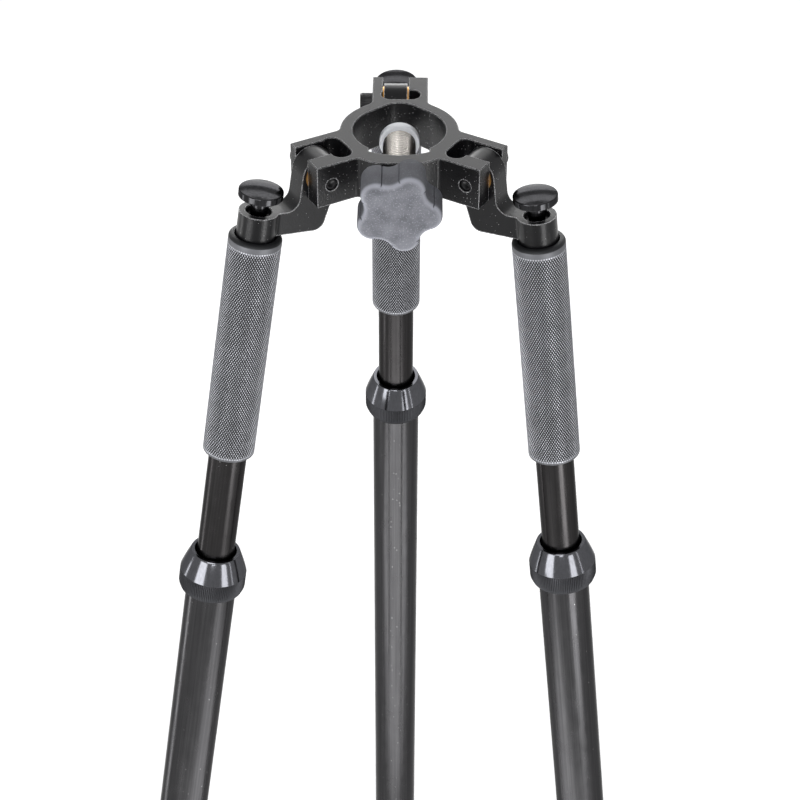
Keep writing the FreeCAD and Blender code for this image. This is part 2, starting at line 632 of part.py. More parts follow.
def make_lock_shoe(side):
    top = -TUBE_END - SHOE_TOP_GAP
    bottom = -TUBE_END - RAMP_L - SHOE_TOP_GAP / 2
    shoe = disc(OUTER_BORE_R - GUIDE, top - bottom, (0, 0, bottom)).common(ramp_side(RAMP_FILM, 4 * OUTER_R))
    shoe = shoe.common(block(-2 * OUTER_R, 2 * OUTER_R, -SHOE_HALF_WIDTH, SHOE_HALF_WIDTH, bottom, top))
    neck_r = ROD_R + ROD_HOLE_CLEARANCE
    neck = block(-2 * OUTER_R, neck_r + T_SLOT_PLAY, -neck_r, neck_r, -rod_end(), top)
    head_r = T_HEAD_R + FREE
    head = block(-2 * OUTER_R, head_r + T_SLOT_PLAY, -head_r, head_r,
                 -rod_end() - FIT, -rod_end() + T_HEAD_T + FIT)
    shoe = shoe.cut(neck).cut(head)
    shoe.translate(Vector(LEG_OFFSET, side * GAP_MID, 0))
    return shoe


# ---------------------------------------------------------------- lower leg
def make_collar():
    bow = (COLLAR_TOP_R + COLLAR_R) / 2 + COLLAR_BOW
    outside = [
        line((COLLAR_MOUTH_R, 0, 0), (COLLAR_TOP_R, 0, 0)),
        arc((COLLAR_TOP_R, 0, 0), (bow, 0, -COLLAR_CONE_L / 2), (COLLAR_R, 0, -COLLAR_CONE_L)),
        line((COLLAR_R, 0, -COLLAR_CONE_L), (COLLAR_R, 0, -COLLAR_CONE_L - COLLAR_BAND_L)),
        line((COLLAR_R, 0, -COLLAR_CONE_L - COLLAR_BAND_L), (COLLAR_FOOT_R, 0, -COLLAR_L)),
        line((COLLAR_FOOT_R, 0, -COLLAR_L), (OUTER_R + FIT, 0, -COLLAR_L)),
        line((OUTER_R + FIT, 0, -COLLAR_L), (OUTER_R + FIT, 0, -COLLAR_SHOULDER)),
        line((OUTER_R + FIT, 0, -COLLAR_SHOULDER), (COLLAR_MOUTH_R, 0, -COLLAR_SHOULDER)),
        line((COLLAR_MOUTH_R, 0, -COLLAR_SHOULDER), (COLLAR_MOUTH_R, 0, 0)),
    ]
    return Part.Face(Part.Wire(outside)).revolve(Vector(0, 0, 0), UP, 360)


def make_collet():
    flange_end = COLLAR_SHOULDER + COLLET_FLANGE
    flange = ring(OUTER_R - GUIDE, TUBE_R + FIT, COLLET_FLANGE, (0, 0, -flange_end))
    sleeve = ring(OUTER_BORE_R - FIT, TUBE_R + FIT, COLLET_L - COLLET_FLANGE, (0, 0, -COLLAR_SHOULDER - COLLET_L))
    return flange.fuse(sleeve).removeSplitter()


def foot_screw_depth():
    return SOCKET_TOP + FOOT_SCREW_INSET


def make_outer_tube():
    top = COLLAR_SHOULDER + COLLET_FLANGE
    end = SOCKET_TOP + SOCKET_L
    tube = ring(OUTER_R, OUTER_BORE_R, end - top, (0, 0, -end))
    return tube.cut(radial_pair(FOOT_SCREW_R + FIT, OUTER_R + OVERRUN, (0, 0), -foot_screw_depth()))


def make_foot():
    socket_end = SOCKET_TOP + SOCKET_L
    solid_end = STEP_TOP + STEP_T
    foot = lathe([
        (0, -SOCKET_TOP), (SOCKET_R, -SOCKET_TOP), (SOCKET_R, -solid_end), (FOOT_END_R, -FOOT_END),
        (0, -FOOT_END)])
    step = block(0, STEP_REACH - STEP_HALF_WIDTH, -STEP_HALF_WIDTH, STEP_HALF_WIDTH, -solid_end, -STEP_TOP)
    step = step.fuse(disc(STEP_HALF_WIDTH, STEP_T, (STEP_REACH - STEP_HALF_WIDTH, 0, -solid_end)))
    step = step.removeSplitter()
    foot = foot.fuse(step).removeSplitter()
    foot = foot.makeFillet(SOCKET_EDGE_R, circles(foot, SOCKET_R, -SOCKET_TOP))
    foot = foot.cut(disc(OUTER_R + FIT, SOCKET_L, (0, 0, -socket_end)))
    foot = foot.cut(disc(POINT_STUD_R + FIT, POINT_STUD_L + FREE, (0, 0, -FOOT_END)))
    return foot.cut(radial_pair(FOOT_SCREW_R + FIT, SOCKET_R + OVERRUN, (0, 0), -foot_screw_depth()))


def make_point():
    """Steel point: stud, shoulder and cone with a rounded tip."""
    drop = LOWER_L - FOOT_END
    slope = math.asin((POINT_R - TIP_R) / drop)
    tip_x = TIP_R * math.cos(slope)
    tip_z = -LOWER_L - TIP_R * math.sin(slope)
    shoulder = -FOOT_END - POINT_SHOULDER
    outline = [
        line((0, 0, -FOOT_END + POINT_STUD_L), (POINT_STUD_R, 0, -FOOT_END + POINT_STUD_L)),
        line((POINT_STUD_R, 0, -FOOT_END + POINT_STUD_L), (POINT_STUD_R, 0, -FOOT_END)),
        line((POINT_STUD_R, 0, -FOOT_END), (POINT_R, 0, -FOOT_END)),
        line((POINT_R, 0, -FOOT_END), (POINT_R, 0, shoulder)),
        line((POINT_R, 0, shoulder), (tip_x, 0, tip_z)),
        arc((tip_x, 0, tip_z),
            (TIP_R * math.sin(math.pi / 4), 0, -LOWER_L - TIP_R * math.cos(math.pi / 4)),
            (0, 0, -LOWER_L - TIP_R)),
        line((0, 0, -LOWER_L - TIP_R), (0, 0, -FOOT_END + POINT_STUD_L)),
    ]
    return Part.Face(Part.Wire(outline)).revolve(Vector(0, 0, 0), UP, 360)


def make_foot_screws():
    screws = []
    for way in (1, -1):
        start = OUTER_BORE_R - FOOT_SCREW_TIP
        shank = disc(FOOT_SCREW_R, SOCKET_R - start, (0, way * start, -foot_screw_depth()), (0, way, 0))
        head = disc(FOOT_SCREW_HEAD_R, FOOT_SCREW_HEAD_H, (0, way * SOCKET_R, -foot_screw_depth()), (0, way, 0))
        screws.append(shank.fuse(head).removeSplitter())
    return Part.makeCompound(screws)


# ---------------------------------------------------------------- legs in place
def at_leg(shape, leg, drawn_out=None):
    """Move a piece from the leg frame to the tripod, or a lower-leg piece from its own top rim."""
    placed = shape.copy()
    if drawn_out is not None:
        placed.translate(Vector(LEG_OFFSET, leg["side"] * GAP_MID, -drawn_out))
    turn = Rotation(UP, leg["azimuth"]).multiply(Rotation(Vector(0, 1, 0), -leg["splay"]))
    hinge = Rotation(UP, leg["azimuth"]).multVec(Vector(HINGE_R, 0, 0)) + Vector(0, 0, HINGE_HEIGHT)
    placed.Placement = Placement(hinge, turn).multiply(placed.Placement)
    return placed


def collar_depth(leg):
    """Collar rim below the hinge axis, so that the leg's point stands on the ground."""
    splay = math.radians(leg["splay"])
    tip = (HINGE_HEIGHT + LEG_OFFSET * math.sin(splay) - TIP_R) / math.cos(splay)
    return tip - LOWER_L


def make_leg(leg):
    name = leg["name"]
    side = leg["side"]
    rim = collar_depth(leg)
    print(name, "leg: collar below the grip", round(rim - GRIP_END, 2))
    save("hinge_bolt_" + name, at_leg(make_bolt(side), leg))
    save("hinge_washers_" + name, at_leg(make_washers(side), leg))
    save("leg_arm_" + name, at_leg(make_arm(side), leg))
    save("release_button_" + name, at_leg(make_button(side), leg))
    save("stem_retainer_" + name, at_leg(make_retainer(side), leg))
    save("release_spring_" + name, at_leg(make_spring(side), leg))
    save("release_rod_" + name, at_leg(make_rod(side), leg))
    save("inner_tube_" + name, at_leg(make_tube(side), leg))
    save("tube_screws_" + name, at_leg(make_tube_screws(side), leg))
    save("grip_" + name, at_leg(make_grip(side), leg))
    save("lock_plug_" + name, at_leg(make_plug(side), leg))
    save("lock_shoe_" + name, at_leg(make_lock_shoe(side), leg))
    save("lock_collar_" + name, at_leg(make_collar(), leg, rim))
    save("collet_" + name, at_leg(make_collet(), leg, rim))
    save("outer_tube_" + name, at_leg(make_outer_tube(), leg, rim))
    save("foot_" + name, at_leg(make_foot(), leg, rim))
    save("foot_point_" + name, at_leg(make_point(), leg, rim))
    save("foot_screws_" + name, at_leg(make_foot_screws(), leg, rim))


os.makedirs("parts", exist_ok=True)
save("head", make_head())
save("clamp_pad", make_pad())
save("clamp_screw", make_screw())
save("clamp_knob", make_knob())
for each in LEGS:
    make_leg(each)
print(len(EXPORTED), "nodes")
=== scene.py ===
import json
import math

import bmesh
import bpy
from mathutils import Matrix, Vector


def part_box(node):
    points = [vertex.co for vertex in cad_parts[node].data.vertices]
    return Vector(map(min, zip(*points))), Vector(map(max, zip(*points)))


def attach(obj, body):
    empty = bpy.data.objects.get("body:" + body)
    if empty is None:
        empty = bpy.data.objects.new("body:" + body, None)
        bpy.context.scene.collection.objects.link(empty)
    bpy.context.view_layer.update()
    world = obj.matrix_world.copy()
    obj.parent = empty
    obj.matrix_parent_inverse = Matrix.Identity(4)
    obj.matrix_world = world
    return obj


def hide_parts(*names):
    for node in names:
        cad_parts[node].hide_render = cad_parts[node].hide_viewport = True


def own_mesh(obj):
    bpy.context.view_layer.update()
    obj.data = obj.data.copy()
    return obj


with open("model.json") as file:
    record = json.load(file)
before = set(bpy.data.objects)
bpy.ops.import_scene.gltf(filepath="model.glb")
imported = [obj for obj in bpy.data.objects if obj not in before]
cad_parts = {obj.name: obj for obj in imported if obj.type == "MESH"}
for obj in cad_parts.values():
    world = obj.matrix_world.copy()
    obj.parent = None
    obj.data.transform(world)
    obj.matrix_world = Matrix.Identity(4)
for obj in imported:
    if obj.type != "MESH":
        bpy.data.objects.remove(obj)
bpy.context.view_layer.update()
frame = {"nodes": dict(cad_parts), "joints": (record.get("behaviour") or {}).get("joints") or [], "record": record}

# Surveyor tripod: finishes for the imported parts, and detailed pieces for the knurled grips and
# collars, the threaded clamp screw, the star knob, the tubes, the springs and the hinge bolts.
# Units are metres. +Z is up along the pole axis and the knob faces -Y.

JOINTS = {joint["name"]: joint for joint in frame["joints"]}
LEG_NAMES = ("back", "left", "right")
MM = 0.001

# ---------------------------------------------------------------- camera
CAMERA_FROM_HEAD = Vector((0.010977, -1.211824, 0.700734))  # from the pole axis at the head's top
CAMERA_PITCH = 35.263        # degrees below the horizon
CAMERA_YAW = -0.471          # degrees from straight ahead, +Y
CAMERA_ROLL = 0.286
CAMERA_LENS = 106.07
CAMERA_SHIFT_Y = -0.06896

# ---------------------------------------------------------------- studio
WHITE = (1.0, 1.0, 1.0)
WORLD_LIGHT = 0.12           # what the world lends to the object
BACKDROP = 1.0               # what the camera and reflections see of it
FLOOR_SIZE = 40.0
FLOOR_COLOUR = (0.80, 0.80, 0.80)
FLOOR_GLOW = (0.55, 0.905)   # strength the camera sees besides the lamps' light, near and far
FLOOR_LIT = (0.7, 3.2)       # distances from the pole axis between which it changes
LAMP_FAR = 2.2               # distances from the head's lower face
LAMP_NEAR = 1.35
FLOOR_PANEL_AT = Vector((0, -0.42, 0.06))

# ---------------------------------------------------------------- sleeve grip
KNURL_COUNT = 63             # diamonds round the grip
KNURL_PERIOD = 2.8 * MM      # length of a diamond along it
KNURL_DEPTH = 0.42 * MM
KNURL_FLAT = 0.26            # share of a diamond's half width that stays flat
GRIP_ROUND = 2.6 * MM        # upper edge
GRIP_END_ROUND = 1.0 * MM
GRIP_PLAIN = 4.6 * MM        # smooth rim above the knurl
GRIP_COUNTERBORE_R = 12.7 * MM
GRIP_COUNTERBORE_L = 7.8 * MM

# ---------------------------------------------------------------- twist collar
COLLAR_TEETH = 110
COLLAR_TOOTH = 0.38 * MM     # depth of the straight knurl
COLLAR_TOP_R = 15.4 * MM
COLLAR_MOUTH_R = 13.5 * MM
COLLAR_CONE_L = 14.6 * MM
COLLAR_CONE_ROWS = 12
COLLAR_BAND_L = 10.4 * MM
COLLAR_BEVEL = 1.6 * MM
COLLAR_BOW = 0.25 * MM       # swell of the cone beyond a straight flank
COLLAR_SHOULDER = 8.0 * MM   # from its top to the step inside
COLLAR_EDGE = 0.25 * MM

# ---------------------------------------------------------------- clamp
THREAD_PITCH = 2.0 * MM
THREAD_DEPTH = 0.8 * MM
THREAD_ROWS = 14             # rows of points in one pitch
THREAD_COLUMNS = 96
THREAD_CREST = 0.35          # half the width of the flat crest, in quarters of the pitch
THREAD_FLANK = 1.3           # width of one flank, in the same measure
KNOB_LOBES = 5
KNOB_LOBE_R = 9.1 * MM
KNOB_LOBE_CENTRE_R = 16.6 * MM
KNOB_SCALLOP_R = 9.2 * MM
KNOB_FIRST_LOBE = 282.0      # angle of the lowest lobe, seen from the front
KNOB_ARC_STEPS = 16          # points along a lobe or a scallop
KNOB_FRONT_ROUND = 4.2 * MM
KNOB_FRONT_ROWS = 10
KNOB_BACK_ROUND = 0.8 * MM
KNOB_BACK_ROWS = 4
KNOB_FACE_ROWS = (0.8, 0.55, 0.3)   # shares of the outline, toward the middle of the face
KNOB_SEAM_WIDTH = 0.45 * MM
KNOB_SEAM_DEPTH = 1.1 * MM
SCREW_NECK_R = 4.0 * MM
SCREW_END_CHAMFER = 1.0 * MM
STUB_R = 6.0 * MM            # plain end of the screw inside the knob
STUB_L = 14.0 * MM
BUTTON_END_R = 5.1 * MM      # snap end that turns in the pad
BUTTON_END_T = 2.3 * MM
NECK_L = 1.5 * MM

# ---------------------------------------------------------------- hinge bolt
BOLT_R = 4.0 * MM
BOLT_SHANK_LIMIT = 1.2       # points beyond this many radii belong to the head
BOLT_TEETH = 48
BOLT_TOOTH = 0.22 * MM
BOLT_HEAD_H = 7.8 * MM
BOLT_EDGE = 0.66 * MM
BOLT_SOCKET_FLATS = 6.0 * MM
BOLT_SOCKET_DEPTH = 4.0 * MM
BOLT_END_CHAMFER = 0.8 * MM
BOLT_DIMPLE_R = 2.3 * MM
BOLT_DIMPLE_DEPTH = 1.5 * MM

# ---------------------------------------------------------------- release spring
SPRING_TURNS = 7.5
SPRING_STEPS = 24            # rows of points in one turn
SPRING_SIDES = 12

SMOOTH_COLUMNS = 144         # points round a tube
TUBE_EDGE = 0.3 * MM
CLEAR = 0.04 * MM            # keeps seated pieces from cutting into each other
FIT = 0.05 * MM              # radial room of a bonded or screwed fit


# ---------------------------------------------------------------- places
class Leg:
    """One leg's axes: X outward, Y across, Z up along the tubes, origin level with the hinge."""

    def __init__(self, name):
        self.name = name
        fold = JOINTS["leg_fold_" + name]
        self.up = -Vector(JOINTS["leg_extend_" + name]["axis"]).normalized()
        self.across = -Vector(fold["axis"]).normalized()
        self.outward = self.across.cross(self.up)
        self.hinge = Vector(fold["pos_m"])
        rim = Vector(JOINTS["collar_twist_" + name]["pos_m"])
        self.rim = (rim - self.hinge).dot(self.up)
        self.tube_axes = self.axes(rim - self.up * self.rim)
        self.hinge_axes = self.axes(self.hinge)

    def axes(self, origin):
        turn = Matrix((self.outward, self.across, self.up)).transposed()
        return Matrix.Translation(origin) @ turn.to_4x4()

    def turned_size(self, node):
        """Outer radius, inner radius, top and lower end of a node about the tube axis."""
        inverse = self.tube_axes.inverted()
        points = [inverse @ vertex.co for vertex in frame["nodes"][node].data.vertices]
        radii = [math.hypot(point.x, point.y) for point in points]
        heights = [point.z for point in points]
        return max(radii), min(radii), max(heights), min(heights)


LEGS = [Leg(name) for name in LEG_NAMES]
MODEL_LEG = LEGS[0]          # the legs' pieces are alike, so this one's sizes serve all three
CLAMP_TURN = Matrix(((1, 0, 0), (0, 0, -1), (0, 1, 0))).to_4x4()     # Z toward the knob
CLAMP_AXES = Matrix.Translation((0, 0, JOINTS["clamp_knob_turn"]["pos_m"][2])) @ CLAMP_TURN


# ---------------------------------------------------------------- meshes
class Solid:
    """Points and faces of a closed piece, in its own axes."""

    def __init__(self):
        self.points = []
        self.faces = []

    def row(self, points):
        first = len(self.points)
        self.points.extend(points)
        return list(range(first, len(self.points)))

    def skin(self, row, other):
        for i, point in enumerate(row):
            j = (i + 1) % len(row)
            self.faces.append((point, row[j], other[j], other[i]))

    def chain(self, rows, closed=False):
        """Skins between neighbouring rows, and from the last to the first if closed."""
        for row, other in zip(rows, rows[1:] + rows[:1] if closed else rows[1:]):
            self.skin(row, other)

    def fan(self, row, point):
        centre = self.row([point])[0]
        for i, start in enumerate(row):
            self.faces.append((start, row[(i + 1) % len(row)], centre))

    def mesh(self, name, sharp):
        data = bpy.data.meshes.new(name)
        data.from_pydata(self.points, [], self.faces)
        work = bmesh.new()
        work.from_mesh(data)
        bmesh.ops.recalc_face_normals(work, faces=work.faces)
        work.to_mesh(data)
        work.free()
        data.shade_smooth()
        data.set_sharp_from_angle(angle=math.radians(sharp))
        return data


def ring(radius, height, columns, tooth=0.0):
    """Points round the Z axis; every other one is sunk by the tooth's depth."""
    points = []
    for column in range(columns):
        angle = 2 * math.pi * column / columns
        r = radius - tooth * (column % 2)
        points.append((r * math.cos(angle), r * math.sin(angle), height))
    return points


def hexagon(flats, height, columns):
    points = []
    sector = math.pi / 3
    for column in range(columns):
        angle = 2 * math.pi * column / columns
        r = flats / 2 / math.cos((angle + sector / 2) % sector - sector / 2)
        points.append((r * math.cos(angle), r * math.sin(angle), height))
    return points


def corner(centre_r, centre_z, radius, start, end, steps=6):
    """Quarter round of a turned profile, from angle start to end in degrees."""
    points = []
    for step in range(steps + 1):
        angle = math.radians(start + (end - start) * step / steps)
        points.append((centre_r + radius * math.cos(angle), centre_z + radius * math.sin(angle)))
    return points


def place(name, data, axes, slot, body, *nodes):
    """Puts a piece at its axes, gives it its finish and body, and hides the nodes it stands for."""
    piece = bpy.data.objects.new(name, data)
    bpy.context.scene.collection.objects.link(piece)
    piece.matrix_world = axes
    if not data.materials:
        data.materials.append(LOOKS[slot])
    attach(piece, body)
    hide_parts(*nodes)
    return piece


# ---------------------------------------------------------------- finishes
# Scales of noise and cells are in 1/m: 1000 makes grains of about a millimetre.
CLOUDED = (0.3, 0.7)         # noise values between which a soft cloud grows
MILLED = (0.9, 0.6)          # how far a face looks up, on the milled top and on the blasted sides
SPECK_RIM = 1.4              # a speck fades out between its radius and this many radii
SPECK_BLEND = 0.05
WEAR_AND_HIGHLIGHT_EDGE_WIDTH = 1.2 * MM         # width of the edges rubbed pale as wear and lightened as a painted highlight
EDGE_SAMPLES = 6
EDGE_BEND = (0.985, 0.88)    # how far the surface bends there, as a cosine, from none to full
EDGE_GRAIN = 1300.0
# Tone of the edges, pale as wear and as a painted highlight on the chamfers.
WEAR_AND_HIGHLIGHT_EDGE_TONE = (0.75, 0.75, 0.77)
BLAST_GRAIN = 1000.0
BLAST_DEPTH = 0.22 * MM
# Pale specks painted on the blasted sides as glints.
PAINTED_GLINT_R = 0.15             # in cells
PAINTED_GLINT_SHARE = 0.2
PAINTED_GLINT_TONE = (0.6, 0.6, 0.61)
SATIN_TOP = 0.2              # strength of the grain on the milled top
SIDE_GLOSS = 0.06            # how much less rough the blasted sides are
RIM_BLEND = 0.2 * MM         # length over which a knurl's rubbed tone ends
RIM_TONES = (0.22, 0.26)     # rubbed share of the smooth ends, below and above the knurl
CUT_GRAIN = 3000.0
CUT_DEPTH = 0.03 * MM        # of the grain left by the tool, on cut and on bare metal
LATHE_RINGS = 2600.0
LATHE_DEPTH = 0.02 * MM
DYED_EDGE = (0.5, 0.5, 0.5, 1.0)
STREAK_GRAIN = 900.0
STREAK_DEPTH = 0.02 * MM
SCUFF_GRAIN = 140.0
DUST_CELLS = 320.0
DUST_R = 0.08                # in cells
DUST_TONE = (0.25, 0.25, 0.25)
BAND_BLEND = 0.3 * MM
BAND_TONE = 0.45             # of the dark colour
BAND_ROUGH = 0.42
BLOOM_GRAIN = 1100.0
BLOOM_SHARE = 0.7
FLECK_AND_HIGHLIGHT_GAIN = 1.9                   # tone of the pale grain and of the highlight painted on rounded edges, as a multiple of its light colour
SHADED = 0.5                 # tone of the shade painted on its sides, as a multiple of its dark colour
MOULD_DEPTH = 0.1 * MM
METAL_GRAIN = 700.0


class Finish:
    """A material and short calls for its nodes."""

    def __init__(self, name, **shader):
        self.material = bpy.data.materials.new(name)
        self.material.use_nodes = True
        self.tree = self.material.node_tree
        self.shader = self.tree.nodes["Principled BSDF"]
        for socket, value in shader.items():
            self.shader.inputs[socket.replace("_", " ")].default_value = value
        where = self.node("ShaderNodeTexCoord")
        self.place = where.outputs["Object"]
        self.facing = where.outputs["Normal"]

    def node(self, kind, settings=None, **inputs):
        node = self.tree.nodes.new(kind)
        for key, value in (settings or {}).items():
            setattr(node, key, value)
        for socket, value in inputs.items():
            words = socket.replace("_", " ")
            target = [entry for entry in node.inputs
                      if entry.identifier == socket or entry.name == words][0]
            if isinstance(value, bpy.types.NodeSocket):
                self.tree.links.new(value, target)
            else:
                target.default_value = value
        return node

    def noise(self, scale, detail=2.0, stretch=None):
        source = self.place
        if stretch:
            source = self.node("ShaderNodeMapping", Vector=source, Scale=stretch).outputs["Vector"]
        node = self.node("ShaderNodeTexNoise", Vector=source, Scale=scale, Detail=detail)
        return node.outputs["Fac"]

    def ramp(self, value, low, high, start, end):
        """start where value is low, end where it is high."""
        node = self.node("ShaderNodeMapRange", Value=value, From_Min=low, From_Max=high,
                         To_Min=start, To_Max=end)
        return node.outputs["Result"]

    def blend(self, value, dark, light):
        node = self.tree.nodes.new("ShaderNodeMix")
        node.data_type = "RGBA"
        self.tree.links.new(value, node.inputs["Factor"])
        for socket, colour in (("A", dark), ("B", light)):
            target = [entry for entry in node.inputs
                      if entry.name == socket and entry.type == "RGBA"][0]
            if isinstance(colour, bpy.types.NodeSocket):
                self.tree.links.new(colour, target)
            else:
                target.default_value = (*colour, 1.0)
        return [entry for entry in node.outputs if entry.type == "RGBA"][0]

    def specks(self, scale, radius, share):
        """1 in small round specks in a share of the cells, 0 elsewhere."""
        cell = self.node("ShaderNodeTexVoronoi", Vector=self.place, Scale=scale)
        chance = self.node("ShaderNodeSeparateColor", Color=cell.outputs["Color"]).outputs["Red"]
        spot = self.ramp(cell.outputs["Distance"], radius, radius * SPECK_RIM, 1.0, 0.0)
        return self.times(spot, self.ramp(chance, 1 - share, 1 - share + SPECK_BLEND, 0.0, 1.0))

    def facing_up(self):
        """How far a face turns toward the piece's +Z: 1 straight up, 0 on its sides."""
        return self.node("ShaderNodeSeparateXYZ", Vector=self.facing).outputs["Z"]

    def height(self):
        """Place along the piece's Z axis."""
        return self.node("ShaderNodeSeparateXYZ", Vector=self.place).outputs["Z"]

    def times(self, value, other):
        node = self.node("ShaderNodeMath", {"operation": "MULTIPLY"}, Value=value, Value_001=other)
        return node.outputs["Value"]

    def edges(self):
        """1 along the outer edges, broken up by grain, 0 on the open faces."""
        rounded = self.node("ShaderNodeBevel", {"samples": EDGE_SAMPLES}, Radius=WEAR_AND_HIGHLIGHT_EDGE_WIDTH)
        flat = self.node("ShaderNodeNewGeometry")
        along = self.node("ShaderNodeVectorMath", {"operation": "DOT_PRODUCT"},
                          Vector=rounded.outputs["Normal"], Vector_001=flat.outputs["Normal"])
        wear_and_highlight = self.ramp(along.outputs["Value"], *EDGE_BEND, 0.0, 1.0)
        return self.times(wear_and_highlight, self.ramp(self.noise(EDGE_GRAIN, 1.0), 0.42, 0.58, 0.25, 1.0))

    def crests(self, radius, depth):
        """1 on the crests of a knurl that is turned about the piece's Z axis, 0 in its grooves."""
        across = self.node("ShaderNodeVectorMath", {"operation": "MULTIPLY"}, Vector=self.place,
                           Vector_001=(1.0, 1.0, 0.0)).outputs["Vector"]
        away = self.node("ShaderNodeVectorMath", {"operation": "LENGTH"}, Vector=across)
        return self.ramp(away.outputs["Value"], radius - depth, radius, 0.0, 1.0)

    def drive(self, **sockets):
        for socket, value in sockets.items():
            self.tree.links.new(value, self.shader.inputs[socket.replace("_", " ")])

    def bump(self, height, strength, distance):
        node = self.node("ShaderNodeBump", Height=height, Strength=strength, Distance=distance)
        self.tree.links.new(node.outputs["Normal"], self.shader.inputs["Normal"])


def times_colour(colour, factor):
    return tuple(min(1.0, factor * value) for value in colour)


def anodised(name, dark, light, rough, edge, specular, side_grain_and_glints=1.0):
    """Anodised aluminium: satin milled top, blasted sides with pale specks painted on as glints, and edges rubbed
    pale as wear and painted pale as a highlight.
    """
    look = Finish(name, Specular_IOR_Level=specular)
    side = look.ramp(look.facing_up(), *MILLED, 0.0, 1.0)
    tone = look.blend(look.ramp(look.noise(45.0, 3.0), *CLOUDED, 0.0, 1.0), dark, light)
    # Painted glints: pale specks on the blasted sides.
    painted_glints = look.times(side, look.specks(BLAST_GRAIN, PAINTED_GLINT_R, PAINTED_GLINT_SHARE * side_grain_and_glints))
    tone = look.blend(painted_glints, tone, PAINTED_GLINT_TONE)
    # Edges lightened as wear and as a painted highlight on the chamfers.
    tone = look.blend(look.edges(), tone, edge)
    look.drive(Base_Color=tone, Roughness=look.ramp(side, 0.0, 1.0, rough, rough - SIDE_GLOSS))
    grain = look.ramp(side, 0.0, 1.0, SATIN_TOP, side_grain_and_glints)
    look.bump(look.noise(BLAST_GRAIN, 1.0), grain, BLAST_DEPTH)
    return look.material


def knurled(name, dark, light, rough, radius, depth, metallic, specular=0.5, plain=None):
    """Cut metal: crests rubbed pale, grooves painted dark as shade. The smooth ends outside plain are duller."""
    look = Finish(name, Metallic=metallic, Specular_IOR_Level=specular)
    cloud = look.ramp(look.noise(60.0, 3.0), *CLOUDED, 0.75, 1.0)
    crest = look.times(look.crests(radius, depth), cloud)
    if plain:
        height = look.height()
        for end, past, tone in ((plain[1], RIM_BLEND, RIM_TONES[1]),
                                (plain[0], -RIM_BLEND, RIM_TONES[0])):
            crest = look.times(crest, look.ramp(height, end, end + past, 1.0, tone))
    # The grooves take the dark colour as painted shade; the crests take the light one.
    look.drive(Base_Color=look.blend(crest, dark, light),
               Roughness=look.ramp(crest, 0.0, 1.0, rough + 0.2, rough))
    look.bump(look.noise(CUT_GRAIN), 0.15, CUT_DEPTH)
    return look.material


def polished(name, dark, light, rough, specular):
    """Turned and polished black anodising, with faint rings from the lathe."""
    look = Finish(name, Specular_IOR_Level=specular)
    cloud = look.noise(60.0, 3.0)
    look.drive(Base_Color=look.blend(cloud, dark, light),
               Roughness=look.ramp(cloud, *CLOUDED, rough - 0.03, rough + 0.05))
    look.bump(look.noise(LATHE_RINGS, 1.0, (0.02, 0.02, 1.0)), 0.10, LATHE_DEPTH)
    return look.material


def dyed_metal(name, dark, light, rough, streaks, dust, band=None):
    """Aluminium dyed nearly black, with lengthwise streaks and dust; dull and darker below band."""
    look = Finish(name, Metallic=1.0, Specular_Tint=DYED_EDGE)
    streak = look.noise(STREAK_GRAIN, 2.0, (1.0, 1.0, 0.01))
    scuff = look.noise(SCUFF_GRAIN, 4.0, (1.0, 1.0, 0.5))
    tone = look.blend(look.ramp(streak, 0.35, 0.65, 0.0, 1.0), dark, light)
    tone = look.blend(look.specks(DUST_CELLS, DUST_R, dust), tone, DUST_TONE)
    gloss = look.ramp(scuff, 0.35, 0.75, rough - 0.04, rough + 0.06)
    if band:
        dull = look.ramp(look.height(), band, band - BAND_BLEND, 0.0, 1.0)
        tone = look.blend(dull, tone, times_colour(dark, BAND_TONE))
        gloss = look.ramp(dull, 0.0, 1.0, rough, BAND_ROUGH)
    look.drive(Base_Color=tone, Roughness=gloss)
    look.bump(streak, streaks, STREAK_DEPTH)
    return look.material


def moulded(name, dark, light, rough, grain, specular=0.3, flecks_and_painted_light=0.0):
    """Moulded plastic with soft clouding. The last argument is how far a pale grain shows, how far a highlight is
    painted on the rounded edges of the face that looks along the piece's +Z, and how much shade is painted on its
    other sides."""
    look = Finish(name, Specular_IOR_Level=specular)
    fine = look.noise(grain, 3.0)
    pale = times_colour(light, FLECK_AND_HIGHLIGHT_GAIN)
    tone = look.blend(look.ramp(look.noise(90.0, 4.0), 0.35, 0.65, 0.0, 1.0), dark, light)
    flecks = look.ramp(look.noise(BLOOM_GRAIN, 1.0), 0.58, 0.72, 0.0, BLOOM_SHARE * flecks_and_painted_light)
    tone = look.blend(flecks, tone, pale)
    front = look.ramp(look.facing_up(), 0.0, 0.5, 0.0, 1.0)
    # Painted highlight: the rounded edge of the front face is lightened to the pale tone.
    rounding = look.times(front, look.ramp(look.facing_up(), 0.98, 0.75, 0.0, flecks_and_painted_light))
    tone = look.blend(rounding, tone, pale)
    # Painted shade: the sides that turn away from the front are darkened.
    tone = look.blend(look.ramp(front, 0.0, 1.0, flecks_and_painted_light, 0.0), tone, times_colour(dark, SHADED))
    look.drive(Base_Color=tone, Roughness=look.ramp(fine, *CLOUDED, rough - 0.06, rough + 0.1))
    look.bump(fine, 0.4, MOULD_DEPTH)
    return look.material


def bare_metal(name, dark, light, rough):
    """Uncoated metal with a fine, slightly cloudy grain."""
    look = Finish(name, Metallic=1.0)
    fine = look.noise(METAL_GRAIN, 3.0)
    look.drive(Base_Color=look.blend(fine, dark, light),
               Roughness=look.ramp(fine, *CLOUDED, rough - 0.06, rough + 0.08))
    look.bump(fine, 0.1, CUT_DEPTH)
    return look.material


